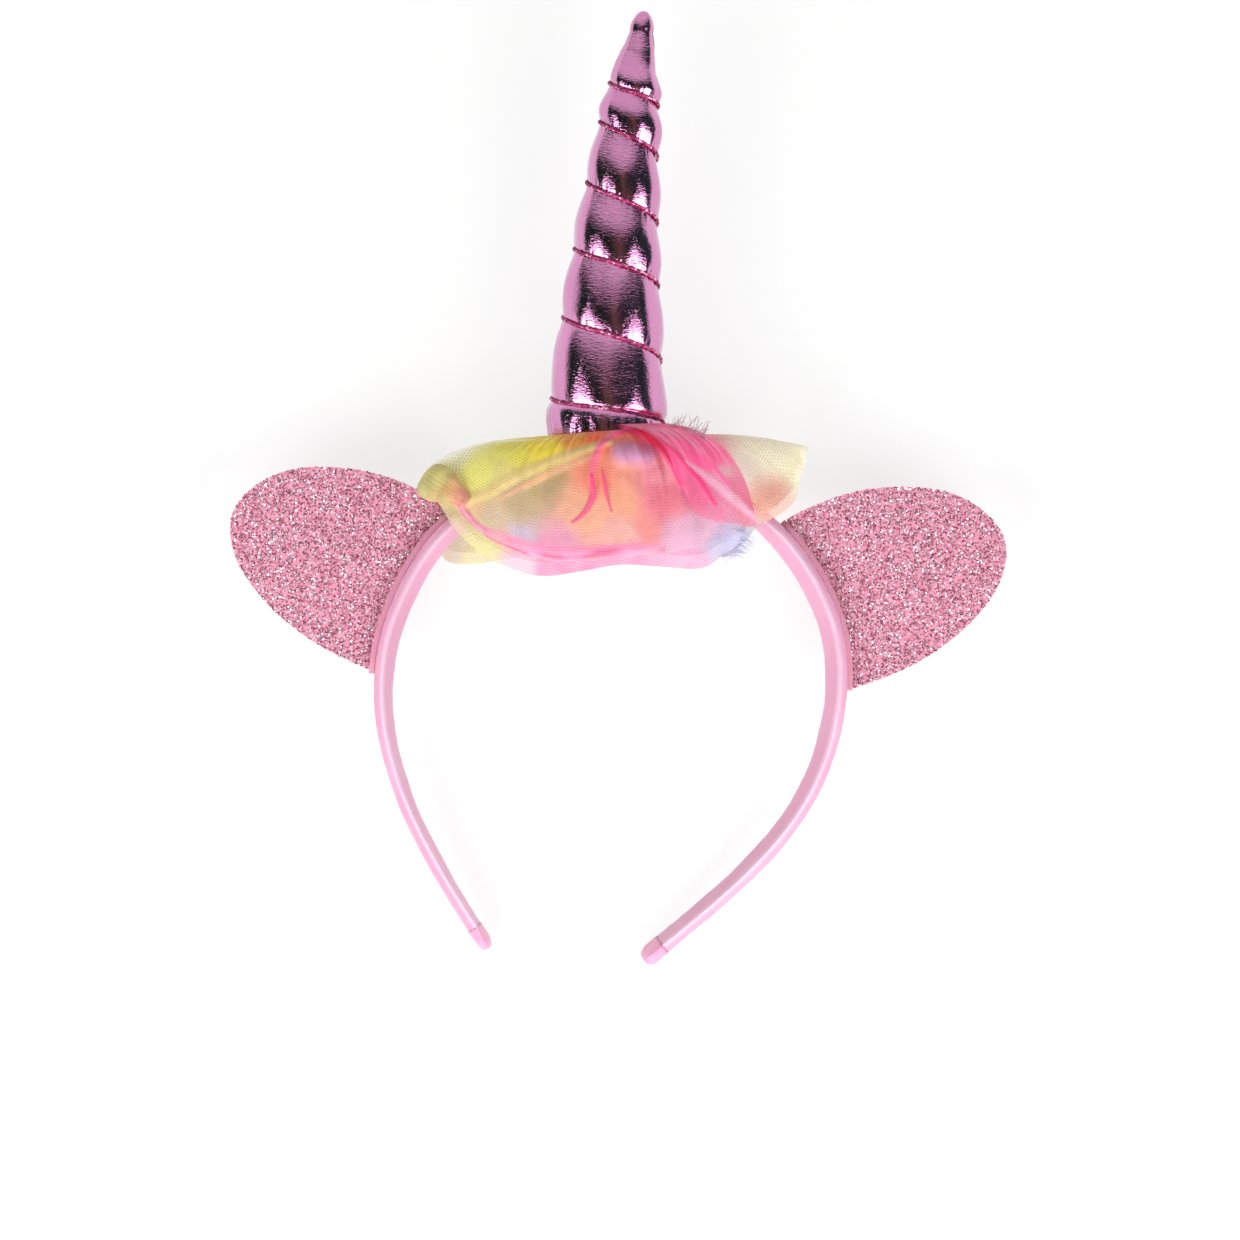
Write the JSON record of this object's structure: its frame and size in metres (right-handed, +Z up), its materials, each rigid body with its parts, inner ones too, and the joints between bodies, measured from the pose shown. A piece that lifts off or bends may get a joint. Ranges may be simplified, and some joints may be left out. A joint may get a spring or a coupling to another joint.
{
  "type": "unicorn horn headband",
  "caption": "Costume headband: a satin-wrapped band with glitter ears, a stuffed cord-wound horn on its crown and a rainbow tulle ruffle round the horn's base",
  "frame": {"origin": "on the table under the middle of the object's box, as it lies on its back", "axes": "+X across the wearer's head, from the left ear in the picture to the right one; +Y along the table towards the horn's tip; +Z up, out of the front of the headband, which leans 5.5 degrees"},
  "size_m": [0.2344, 0.2888, 0.0549],
  "materials": {
    "satin_wrapped_plastic": "satin",
    "rose_satin_ribbon": "satin",
    "rose_glitter_felt": "matte",
    "pink_foil_knit": "gloss",
    "magenta_glitter_cord": "satin",
    "rainbow_tulle": "matte",
    "peach_tulle": "matte",
    "hot_pink_tulle": "matte"
  },
  "bodies": {
    "root": {"headband": "satin_wrapped_plastic", "ribbon_end_left": "rose_satin_ribbon", "ribbon_end_right": "rose_satin_ribbon", "ear_left": "rose_glitter_felt", "ear_right": "rose_glitter_felt", "horn": "pink_foil_knit", "horn_cord": "magenta_glitter_cord", "tulle_ruffle": "rainbow_tulle", "tulle_overlay": "peach_tulle", "tulle_flap": "hot_pink_tulle"}
  },
  "joints": []
}
